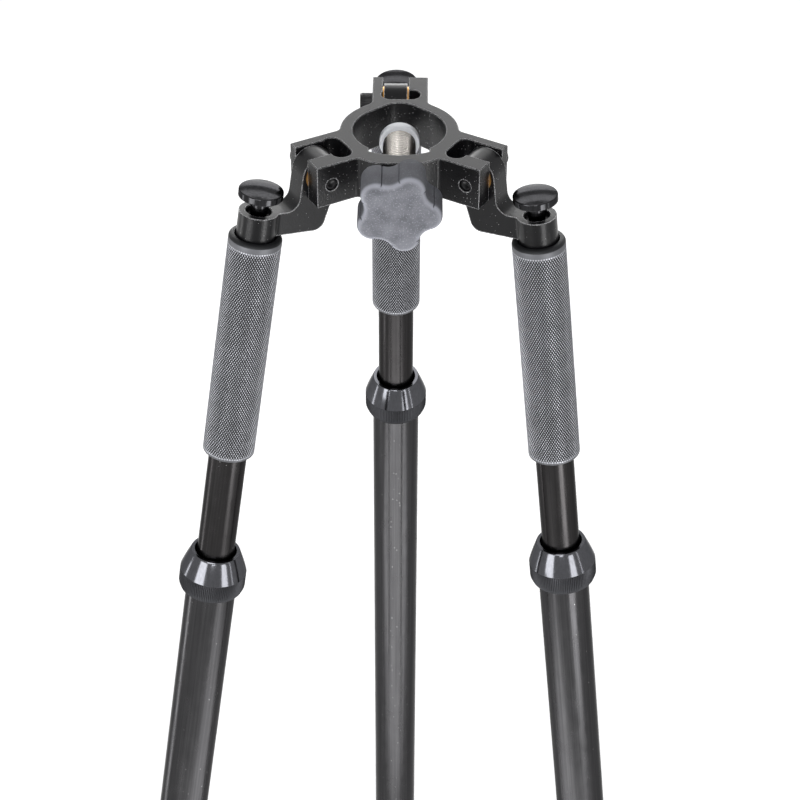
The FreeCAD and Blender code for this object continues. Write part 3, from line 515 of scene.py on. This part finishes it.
_, _, GRIP_TOP, GRIP_END = MODEL_LEG.turned_size("grip_" + MODEL_LEG.name)
_, _, COLLAR_TOP, _ = MODEL_LEG.turned_size("lock_collar_" + MODEL_LEG.name)
KNURL_MARGIN = 0.8 * MM      # the rubbed tone ends this far inside the knurl's ends
GRIP_KNURL = (GRIP_END + GRIP_END_ROUND + KNURL_MARGIN, GRIP_TOP - GRIP_PLAIN - KNURL_MARGIN)

FINISHES = {
    "head_black": (anodised, dict(
        dark=(0.003, 0.003, 0.0036), light=(0.006, 0.006, 0.007), rough=0.36, edge=WEAR_AND_HIGHLIGHT_EDGE_TONE,
        specular=0.2)),
    "arm_black": (anodised, dict(
        dark=(0.003, 0.003, 0.0036), light=(0.006, 0.006, 0.0072), rough=0.34, edge=WEAR_AND_HIGHLIGHT_EDGE_TONE,
        specular=0.2, side_grain_and_glints=0.35)),
    "foot_metal": (anodised, dict(
        dark=(0.008, 0.008, 0.0085), light=(0.014, 0.014, 0.015), rough=0.44,
        edge=(0.12, 0.12, 0.12), specular=0.12)),
    "button_black": (dyed_metal, dict(
        dark=(0.022, 0.022, 0.023), light=(0.032, 0.032, 0.034), rough=0.14, streaks=0.0,
        dust=0.02)),
    "tube_black": (dyed_metal, dict(
        dark=(0.026, 0.0248, 0.0252), light=(0.033, 0.0318, 0.0322), rough=0.24, streaks=0.04,
        dust=0.12)),
    "tube_grey": (dyed_metal, dict(
        dark=(0.040, 0.0394, 0.0412), light=(0.052, 0.0514, 0.0532), rough=0.24, streaks=0.04,
        dust=0.12)),
    "collar_gunmetal": (dyed_metal, dict(
        dark=(0.068, 0.069, 0.075), light=(0.080, 0.081, 0.089), rough=0.14, streaks=0.0,
        dust=0.02, band=COLLAR_TOP - MODEL_LEG.rim - COLLAR_CONE_L)),
    "steel_bright": (knurled, dict(
        # The dark colour is shade painted in the thread's grooves.
        dark=(0.03, 0.028, 0.024), light=(0.60, 0.57, 0.53), rough=0.2, radius=9.75 * MM,
        depth=0.55 * MM, metallic=1.0)),
    "grip_grey": (knurled, dict(
        # The dark colour is shade painted in the knurl's grooves, and the larger part of the smooth ends' tone.
        dark=(0.011, 0.0115, 0.013), light=(0.53, 0.54, 0.585), rough=0.36, radius=16.0 * MM,
        depth=0.4 * KNURL_DEPTH, metallic=0.3, specular=0.3, plain=GRIP_KNURL)),
    "steel_black": (polished, dict(
        dark=(0.006, 0.006, 0.0066), light=(0.014, 0.014, 0.015), rough=0.26, specular=0.2)),
    "pad_white": (moulded, dict(
        dark=(0.82, 0.84, 0.88), light=(0.86, 0.88, 0.92), rough=0.45, grain=900.0)),
    "knob_grey": (moulded, dict(
        # Pale grain, a highlight painted on the front's rounded edge and shade painted on the sides.
        dark=(0.185, 0.19, 0.213), light=(0.30, 0.306, 0.344), rough=0.7, grain=1900.0,
        specular=0.12, flecks_and_painted_light=0.75)),
    "collet_nylon": (moulded, dict(
        dark=(0.02, 0.02, 0.02), light=(0.03, 0.03, 0.03), rough=0.5, grain=1200.0)),
    "brass": (bare_metal, dict(
        dark=(0.60, 0.30, 0.08), light=(0.82, 0.45, 0.14), rough=0.34)),
    "spring_steel": (bare_metal, dict(
        dark=(0.34, 0.34, 0.35), light=(0.48, 0.48, 0.49), rough=0.3)),
    "point_steel": (bare_metal, dict(
        dark=(0.16, 0.16, 0.17), light=(0.26, 0.26, 0.27), rough=0.34)),
}
LOOKS = {name: make(name, **values) for name, (make, values) in FINISHES.items()}


def finish_frame():
    """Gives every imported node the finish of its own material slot."""
    for part in frame["record"]["subparts"]:
        node = frame["nodes"][part["node"]]
        for slot in node.material_slots:
            slot.material = LOOKS[part["material_slot"]]


# ---------------------------------------------------------------- sleeve grip
def diamond_rows(solid, radius, high, low):
    """Diamond knurl from height high down to low; returns its first and last row."""
    columns = 2 * KNURL_COUNT
    steps = round(2 * (high - low) / KNURL_PERIOD)

    def point(r, column, step):
        angle = math.pi * column / KNURL_COUNT
        return (r * math.cos(angle), r * math.sin(angle), high + (low - high) * step / steps)

    def valley(step):
        return radius - KNURL_DEPTH * min(1.0, step / 2, (steps - step) / 2)

    edge = {0, steps}
    grid = {}
    for step in range(steps + 1):
        for column in range(columns):
            if step in edge or (step + column) % 2 == 0:
                grid[column, step] = solid.row([point(valley(step), column, step)])[0]

    def half_diamond(column, step, inward):
        top = grid[column, step]
        before = grid[(column - 1) % columns, step]
        after = grid[(column + 1) % columns, step]
        solid.faces.append((top, before, grid[column, step + inward]))
        solid.faces.append((top, grid[column, step + inward], after))

    for step in range(steps + 1):
        for column in range(columns):
            if (step + column) % 2 == 0:
                continue
            if step in edge:
                half_diamond(column, step, 1 if step == 0 else -1)
                continue
            around = ((1, 0), (0, 1), (-1, 0), (0, -1))
            flat = [solid.row([point(radius, column + KNURL_FLAT * x, step + KNURL_FLAT * y)])[0]
                    for x, y in around]
            base = [grid[(column + x) % columns, step + y] for x, y in around]
            solid.faces.append(tuple(flat))
            for i in range(4):
                j = (i + 1) % 4
                solid.faces.append((flat[i], base[i], base[j], flat[j]))
    return [[grid[column, step] for column in range(columns)] for step in (0, steps)]


def grip_mesh(radius, bore, top, end):
    """Sleeve with a rounded smooth rim, a counterbore and diamond knurl down to its lower edge."""
    solid = Solid()
    columns = 2 * KNURL_COUNT
    first, last = diamond_rows(solid, radius, top - GRIP_PLAIN, end + GRIP_END_ROUND)
    shoulder = top - GRIP_COUNTERBORE_L
    rim = corner(radius - GRIP_ROUND, top - GRIP_ROUND, GRIP_ROUND, 0, 90, steps=8)
    foot = corner(radius - GRIP_END_ROUND, end + GRIP_END_ROUND, GRIP_END_ROUND, 0, -90,
                  steps=4)[1:]
    inside = [(bore, end), (bore, shoulder),
              (GRIP_COUNTERBORE_R, shoulder), (GRIP_COUNTERBORE_R, top)]
    rows = [first] + [solid.row(ring(r, z, columns)) for r, z in rim]
    around = [last] + [solid.row(ring(r, z, columns)) for r, z in foot + inside]
    solid.chain(rows)
    solid.chain(around)
    solid.skin(rows[-1], around[-1])
    return solid.mesh("grip", sharp=22)


# ---------------------------------------------------------------- twist collar
def collar_mesh(radius, bore, top, end):
    """Polished bowed cone above a straight-knurled band with a bevelled lower edge."""
    columns = 2 * COLLAR_TEETH
    cone_end = top - COLLAR_CONE_L
    band_end = cone_end - COLLAR_BAND_L
    solid = Solid()
    rows = []
    for step in range(COLLAR_CONE_ROWS + 1):
        share = step / COLLAR_CONE_ROWS
        bow = COLLAR_BOW * 4 * share * (1 - share)
        r = COLLAR_TOP_R + COLLAR_EDGE + (radius - COLLAR_TOP_R - COLLAR_EDGE) * share + bow
        z = top - COLLAR_EDGE - (COLLAR_CONE_L - COLLAR_EDGE) * share
        rows.append(ring(min(r, radius), z, columns))
    rows.append(ring(radius, cone_end - COLLAR_TOOTH, columns, COLLAR_TOOTH))
    rows.append(ring(radius, band_end, columns, COLLAR_TOOTH))
    bevel_r = radius - COLLAR_BEVEL
    rows.append(ring(bevel_r + COLLAR_EDGE, end + COLLAR_EDGE, columns, COLLAR_TOOTH / 2))
    shoulder = top - COLLAR_SHOULDER + CLEAR
    inside = [(bevel_r - COLLAR_EDGE, end), (bore, end), (bore, shoulder),
              (COLLAR_MOUTH_R, shoulder), (COLLAR_MOUTH_R, top), (COLLAR_TOP_R, top)]
    rows.extend(ring(r, z, columns) for r, z in inside)
    solid.chain([solid.row(row) for row in rows], closed=True)
    return solid.mesh("collar", sharp=24)


# ---------------------------------------------------------------- tubes
def plain_tube(name, radius, bore, top, end):
    profile = [(bore, end), (radius - TUBE_EDGE, end), (radius, end + TUBE_EDGE),
               (radius, top - TUBE_EDGE), (radius - TUBE_EDGE, top), (bore, top)]
    solid = Solid()
    solid.chain([solid.row(ring(r, z, SMOOTH_COLUMNS)) for r, z in profile], closed=True)
    return solid.mesh(name, sharp=24)


# ---------------------------------------------------------------- release spring
def spring_mesh(radius, bore, top, end):
    """Coil of round wire between its two seats."""
    wire = (radius - bore) / 2
    coil = radius - wire
    rise = top - end - 2 * wire
    climb = rise / SPRING_TURNS / (2 * math.pi)    # per radian
    count = round(SPRING_TURNS * SPRING_STEPS)
    solid = Solid()
    rows = []
    for step in range(count + 1):
        angle = 2 * math.pi * step / SPRING_STEPS
        away = Vector((math.cos(angle), math.sin(angle), 0))
        centre = away * coil + Vector((0, 0, end + wire + rise * step / count))
        along = Vector((-away.y * coil, away.x * coil, climb)).normalized()
        over = along.cross(away)
        points = []
        for side in range(SPRING_SIDES):
            turn = 2 * math.pi * side / SPRING_SIDES
            points.append(centre + away * (wire * math.cos(turn)) + over * (wire * math.sin(turn)))
        rows.append(solid.row(points))
        if step in (0, count):
            solid.fan(rows[-1], centre)
    solid.chain(rows)
    return solid.mesh("release_coil", sharp=40)


# ---------------------------------------------------------------- clamp screw
def screw_mesh():
    """Threaded shank with a chamfered end and a snap button; Z runs toward the knob."""
    low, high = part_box("clamp_screw")
    radius = (high.x - low.x) / 2
    back = -high.y + BUTTON_END_T + NECK_L
    front = -low.y - STUB_L
    solid = Solid()
    count = round((front - back) / THREAD_PITCH * THREAD_ROWS)
    rows = []
    for step in range(count + 1):
        z = back + (front - back) * step / count
        points = []
        for column in range(THREAD_COLUMNS):
            angle = 2 * math.pi * column / THREAD_COLUMNS
            phase = (z / THREAD_PITCH - column / THREAD_COLUMNS) % 1.0
            slope = min(1.0, max(0.0, 4 * abs(phase - 0.5) - THREAD_CREST) / THREAD_FLANK)
            r = min(radius - THREAD_DEPTH * slope, radius - SCREW_END_CHAMFER + (z - back))
            points.append((r * math.cos(angle), r * math.sin(angle), z))
        rows.append(solid.row(points))
    neck = [(SCREW_NECK_R, back), (SCREW_NECK_R, back - NECK_L), (BUTTON_END_R, back - NECK_L),
            (BUTTON_END_R, back - NECK_L - BUTTON_END_T)]
    stub = [(STUB_R, front), (STUB_R, front + STUB_L)]
    rows = [solid.row(ring(r, z, THREAD_COLUMNS)) for r, z in reversed(neck)] + rows
    rows += [solid.row(ring(r, z, THREAD_COLUMNS)) for r, z in stub]
    solid.chain(rows)
    solid.fan(rows[0], (0, 0, back - NECK_L - BUTTON_END_T))
    solid.fan(rows[-1], (0, 0, front + STUB_L))
    return solid.mesh("clamp_thread", sharp=28)


# ---------------------------------------------------------------- star knob
def knob_outline():
    """Points and outward directions round the star, with a seam where a lobe meets a scallop."""
    step = 2 * math.pi / KNOB_LOBES
    reach = KNOB_LOBE_R + KNOB_SCALLOP_R
    across = KNOB_LOBE_CENTRE_R * math.sin(step / 2)
    scallop_r = KNOB_LOBE_CENTRE_R * math.cos(step / 2) + math.sqrt(reach ** 2 - across ** 2)
    first = math.radians(KNOB_FIRST_LOBE)
    outline = []

    def polar(radius, angle):
        return Vector((radius * math.cos(angle), radius * math.sin(angle)))

    def sweep(centre, radius, start, end, outward):
        """Arc with a seam at its start; outward is 1 on a lobe and -1 on a scallop."""
        seam = math.copysign(KNOB_SEAM_WIDTH / radius, end - start)
        between = [start + (end - start) * k / KNOB_ARC_STEPS for k in range(2, KNOB_ARC_STEPS - 1)]
        for index, angle in enumerate([start, start + seam] + between + [end - seam]):
            away = polar(1, angle) * outward
            point = centre + polar(radius, angle)
            if index == 0:
                outline.append((point - away * KNOB_SEAM_DEPTH, away, True))
            else:
                outline.append((point, away, False))

    for lobe in range(KNOB_LOBES):
        angle = first + lobe * step
        centre = polar(KNOB_LOBE_CENTRE_R, angle)
        after = polar(scallop_r, angle + step / 2)
        toward = math.atan2((after - centre).y, (after - centre).x)
        half = (toward - angle + math.pi) % (2 * math.pi) - math.pi
        sweep(centre, KNOB_LOBE_R, angle - half, angle + half, 1)
        middle = angle + step / 2 + math.pi
        open_half = (angle + half + math.pi - middle + math.pi) % (2 * math.pi) - math.pi
        sweep(after, KNOB_SCALLOP_R, middle + open_half, middle - open_half, -1)
    return outline


def knob_mesh():
    """Lobed knob with a soft front edge and fine seams that fade out toward it."""
    low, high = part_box("clamp_knob")
    front = -low.y
    back = -high.y
    outline = knob_outline()
    solid = Solid()

    def loop(inset, z, seam=1.0):
        points = []
        for point, away, notch in outline:
            lift = KNOB_SEAM_DEPTH * (1 - seam) if notch else 0.0
            place_at = point - away * (inset - lift)
            points.append((place_at.x, place_at.y, z))
        return solid.row(points)

    rows = []
    for step in range(KNOB_BACK_ROWS + 1):
        angle = math.pi / 2 * step / KNOB_BACK_ROWS
        inset = KNOB_BACK_ROUND * (1 - math.sin(angle))
        rows.append(loop(inset, back + KNOB_BACK_ROUND * (1 - math.cos(angle))))
    for step in range(KNOB_FRONT_ROWS + 1):
        share = step / KNOB_FRONT_ROWS
        angle = math.pi / 2 * share
        inset = KNOB_FRONT_ROUND * (1 - math.cos(angle))
        rows.append(loop(inset, front - KNOB_FRONT_ROUND * (1 - math.sin(angle)), 1 - share))
    for share in KNOB_FACE_ROWS:
        edge = [solid.points[i] for i in rows[-1]]
        rows.append(solid.row([(x * share, y * share, front) for x, y, _ in edge]))
    solid.chain(rows)
    solid.fan(rows[-1], (0, 0, front))
    socket = []
    for z in (back, back + STUB_L):
        points = []
        for i in rows[0]:
            direction = Vector(solid.points[i][:2]).normalized() * (STUB_R + FIT)
            points.append((direction.x, direction.y, z))
        socket.append(solid.row(points))
    solid.chain([rows[0]] + socket)
    solid.fan(socket[1], (0, 0, back + STUB_L))
    return solid.mesh("star_knob", sharp=35)


# ---------------------------------------------------------------- hinge bolt
def bolt_mesh(leg):
    """Socket head with a fine straight knurl, and a chamfered end; Z runs toward the head."""
    node = frame["nodes"]["hinge_bolt_" + leg.name]
    inverse = leg.hinge_axes.inverted()
    points = [inverse @ vertex.co for vertex in node.data.vertices]
    head_r = max(math.hypot(point.x, point.z) for point in points)
    wide = [point.y for point in points
            if math.hypot(point.x, point.z) > BOLT_R * BOLT_SHANK_LIMIT]
    side = 1 if sum(wide) > 0 else -1
    tip = min(side * point.y for point in points)
    top = max(side * point.y for point in points)
    seat = top - BOLT_HEAD_H
    columns = 2 * BOLT_TEETH
    shank = [(BOLT_DIMPLE_R, tip), (BOLT_R - BOLT_END_CHAMFER, tip),
             (BOLT_R, tip + BOLT_END_CHAMFER), (BOLT_R, seat),
             (head_r - BOLT_EDGE / 2, seat), (head_r, seat + BOLT_EDGE / 2)]
    rows = [ring(r, z, columns) for r, z in shank]
    rows += [ring(head_r, z, columns, BOLT_TOOTH) for z in (seat + BOLT_EDGE, top - 2 * BOLT_EDGE)]
    rounding = corner(head_r - BOLT_EDGE, top - BOLT_EDGE, BOLT_EDGE, 0, 90)
    rows += [ring(r, z, columns) for r, z in rounding]
    rows += [hexagon(BOLT_SOCKET_FLATS, z, columns) for z in (top, top - BOLT_SOCKET_DEPTH)]
    solid = Solid()
    rows = [solid.row(row) for row in rows]
    solid.chain(rows)
    solid.fan(rows[0], (0, 0, tip + BOLT_DIMPLE_DEPTH))
    solid.fan(rows[-1], (0, 0, top - BOLT_SOCKET_DEPTH))
    toward = leg.across * side
    turn = Matrix((leg.up.cross(toward), leg.up, toward)).transposed()
    return solid.mesh("hinge_bolt", sharp=28), Matrix.Translation(leg.hinge) @ turn.to_4x4()


# ---------------------------------------------------------------- assembly
def dress_leg(leg, meshes):
    name = leg.name
    upper = "upper_leg_" + name
    place("knurled_grip_" + name, meshes["grip"], leg.tube_axes, "grip_grey", upper,
          "grip_" + name)
    place("drawn_inner_tube_" + name, meshes["inner"], leg.tube_axes, "tube_black", upper,
          "inner_tube_" + name)
    rim_axes = leg.tube_axes @ Matrix.Translation((0, 0, leg.rim))
    place("knurled_collar_" + name, meshes["collar"], rim_axes, "collar_gunmetal",
          "collar_body_" + name, "lock_collar_" + name)
    place("drawn_outer_tube_" + name, meshes["outer"], rim_axes, "tube_grey",
          "lower_leg_" + name, "outer_tube_" + name)
    coil = place("release_coil_" + name, meshes["spring"], leg.tube_axes, "spring_steel", upper,
                 "release_spring_" + name)
    _, _, top, end = leg.turned_size("release_spring_" + name)
    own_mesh(coil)
    bolt, axes = bolt_mesh(leg)
    place("socket_bolt_" + name, bolt, axes, "steel_black", "head_body", "hinge_bolt_" + name)


def build_legs():
    name = MODEL_LEG.name
    rim = MODEL_LEG.rim
    outer_r, outer_bore, outer_top, outer_end = MODEL_LEG.turned_size("outer_tube_" + name)
    collar_r, _, collar_top, collar_end = MODEL_LEG.turned_size("lock_collar_" + name)
    meshes = {
        "grip": grip_mesh(*MODEL_LEG.turned_size("grip_" + name)),
        "inner": plain_tube("inner_tube", *MODEL_LEG.turned_size("inner_tube_" + name)),
        "outer": plain_tube("outer_tube", outer_r, outer_bore, outer_top - rim - CLEAR,
                            outer_end - rim),
        "collar": collar_mesh(collar_r, outer_r + FIT, collar_top - rim, collar_end - rim),
        "spring": spring_mesh(*MODEL_LEG.turned_size("release_spring_" + name)),
    }
    for leg in LEGS:
        dress_leg(leg, meshes)


def build_clamp():
    place("clamp_thread", screw_mesh(), CLAMP_AXES, "steel_bright", "clamp_screw_body",
          "clamp_screw")
    place("star_knob", knob_mesh(), CLAMP_AXES, "knob_grey", "clamp_screw_body", "clamp_knob")


# ---------------------------------------------------------------- studio
def seen_ray(tree):
    """1 for rays of the camera, of reflections and through glass, 0 for light on things."""
    rays = tree.nodes.new("ShaderNodeLightPath")
    total = rays.outputs["Is Camera Ray"]
    for kind in ("Is Glossy Ray", "Is Transmission Ray"):
        node = tree.nodes.new("ShaderNodeMath")
        node.operation = "MAXIMUM"
        tree.links.new(total, node.inputs[0])
        tree.links.new(rays.outputs[kind], node.inputs[1])
        total = node.outputs["Value"]
    return total


def scaled(tree, value, low, high):
    node = tree.nodes.new("ShaderNodeMapRange")
    tree.links.new(value, node.inputs["Value"])
    node.inputs["To Min"].default_value = low
    node.inputs["To Max"].default_value = high
    return node.outputs["Result"]


def build_world():
    world = bpy.data.worlds.new("studio")
    bpy.context.scene.world = world
    world.use_nodes = True
    background = world.node_tree.nodes["Background"]
    background.inputs["Color"].default_value = (*WHITE, 1.0)
    strength = scaled(world.node_tree, seen_ray(world.node_tree), WORLD_LIGHT, BACKDROP)
    world.node_tree.links.new(strength, background.inputs["Strength"])


def build_floor():
    """Matt paper, with a glow that only the camera, reflections and glass see."""
    data = bpy.data.meshes.new("floor")
    half = FLOOR_SIZE / 2
    corners = [(-half, -half, 0), (half, -half, 0), (half, half, 0), (-half, half, 0)]
    data.from_pydata(corners, [], [(0, 1, 2, 3)])
    floor = bpy.data.objects.new("floor", data)
    bpy.context.scene.collection.objects.link(floor)
    material = bpy.data.materials.new("floor_paper")
    material.use_nodes = True
    tree = material.node_tree
    tree.nodes.clear()
    matt = tree.nodes.new("ShaderNodeBsdfDiffuse")
    matt.inputs["Color"].default_value = (*FLOOR_COLOUR, 1.0)
    glow = tree.nodes.new("ShaderNodeEmission")
    away = tree.nodes.new("ShaderNodeVectorMath")
    away.operation = "LENGTH"
    tree.links.new(tree.nodes.new("ShaderNodeTexCoord").outputs["Object"], away.inputs[0])
    spread = tree.nodes.new("ShaderNodeMapRange")
    spread.interpolation_type = "SMOOTHSTEP"
    tree.links.new(away.outputs["Value"], spread.inputs["Value"])
    for socket, value in zip(("From Min", "From Max", "To Min", "To Max"), FLOOR_LIT + FLOOR_GLOW):
        spread.inputs[socket].default_value = value
    seen = tree.nodes.new("ShaderNodeMath")
    seen.operation = "MULTIPLY"
    tree.links.new(seen_ray(tree), seen.inputs[0])
    tree.links.new(spread.outputs["Result"], seen.inputs[1])
    tree.links.new(seen.outputs["Value"], glow.inputs["Strength"])
    both = tree.nodes.new("ShaderNodeAddShader")
    out = tree.nodes.new("ShaderNodeOutputMaterial")
    tree.links.new(matt.outputs["BSDF"], both.inputs[0])
    tree.links.new(glow.outputs["Emission"], both.inputs[1])
    tree.links.new(both.outputs["Shader"], out.inputs["Surface"])
    data.materials.append(material)


def area_lamp(name, width, height, brightness, axes, plain=True):
    """Rectangular lamp that shines along -Z of its axes.

    A lamp that is not plain is seen in glossy surfaces only, so matt colours keep their tone."""
    lamp = bpy.data.lights.new(name, "AREA")
    lamp.shape = "RECTANGLE"
    lamp.size = width
    lamp.size_y = height
    lamp.energy = brightness * math.pi * width * height
    holder = bpy.data.objects.new(name, lamp)
    bpy.context.scene.collection.objects.link(holder)
    holder.matrix_world = axes
    holder.visible_camera = False
    holder.visible_diffuse = plain


def softbox(name, azimuth, elevation, distance, width, height, brightness, plain=True):
    """Lamp aimed at the legs' tops. Azimuth 0 is behind the camera, 90 to its right."""
    target = Vector((0, 0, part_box("head")[0].z))
    turn = math.radians(azimuth)
    rise = math.radians(elevation)
    level = Vector((math.sin(turn), -math.cos(turn), 0)) * math.cos(rise)
    away = level + Vector((0, 0, math.sin(rise)))
    aim = away.to_track_quat("Z", "Y").to_matrix().to_4x4()
    axes = Matrix.Translation(target + away * distance) @ aim
    area_lamp(name, width, height, brightness, axes, plain)


def build_lights():
    # name, azimuth and elevation in degrees, distance, width, height, brightness
    softbox("rear_softbox", 180, 10, LAMP_FAR, 2.2, 0.8, 5.5)
    softbox("rear_upper", 180, 39, LAMP_FAR, 1.8, 0.5, 3.5)
    softbox("front_fill", -12, 34, LAMP_FAR, 1.2, 0.6, 10.0)
    softbox("front_low", -2, 14, LAMP_FAR, 0.5, 0.25, 12.0)
    softbox("left_strip", -42, -2, LAMP_NEAR, 0.66, 0.8, 9.0, plain=False)
    softbox("left_low_strip", -92, -28, LAMP_NEAR, 0.14, 1.0, 7.0)
    softbox("right_strip", 37, -16, LAMP_NEAR, 0.44, 1.3, 8.0, plain=False)
    softbox("right_slit", 64, -8, LAMP_NEAR, 0.05, 1.0, 7.0)
    face_up = Matrix.Translation(FLOOR_PANEL_AT) @ Matrix.Rotation(math.pi, 4, "X")
    area_lamp("floor_panel", 1.2, 0.75, 3.2, face_up)


def build_camera():
    pitch = math.radians(CAMERA_PITCH)
    yaw = math.radians(CAMERA_YAW)
    roll = math.radians(CAMERA_ROLL)
    forward = Vector((math.sin(yaw), math.cos(yaw), 0)) * math.cos(pitch)
    ahead = forward - Vector((0, 0, math.sin(pitch)))
    level = ahead.cross(Vector((0, 0, 1))).normalized()
    upright = level.cross(ahead)
    right = level * math.cos(roll) + upright * math.sin(roll)
    up = upright * math.cos(roll) - level * math.sin(roll)
    lens = bpy.data.cameras.new("camera")
    lens.lens = CAMERA_LENS
    lens.shift_y = CAMERA_SHIFT_Y
    camera = bpy.data.objects.new("camera", lens)
    bpy.context.scene.collection.objects.link(camera)
    stand = Vector((0, 0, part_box("head")[1].z)) + CAMERA_FROM_HEAD
    turn = Matrix((right, up, -ahead)).transposed()
    camera.matrix_world = Matrix.Translation(stand) @ turn.to_4x4()
    bpy.context.scene.camera = camera


bpy.context.scene.view_settings.view_transform = "Standard"
build_camera()
build_world()
build_floor()
build_lights()
finish_frame()
build_legs()
build_clamp()
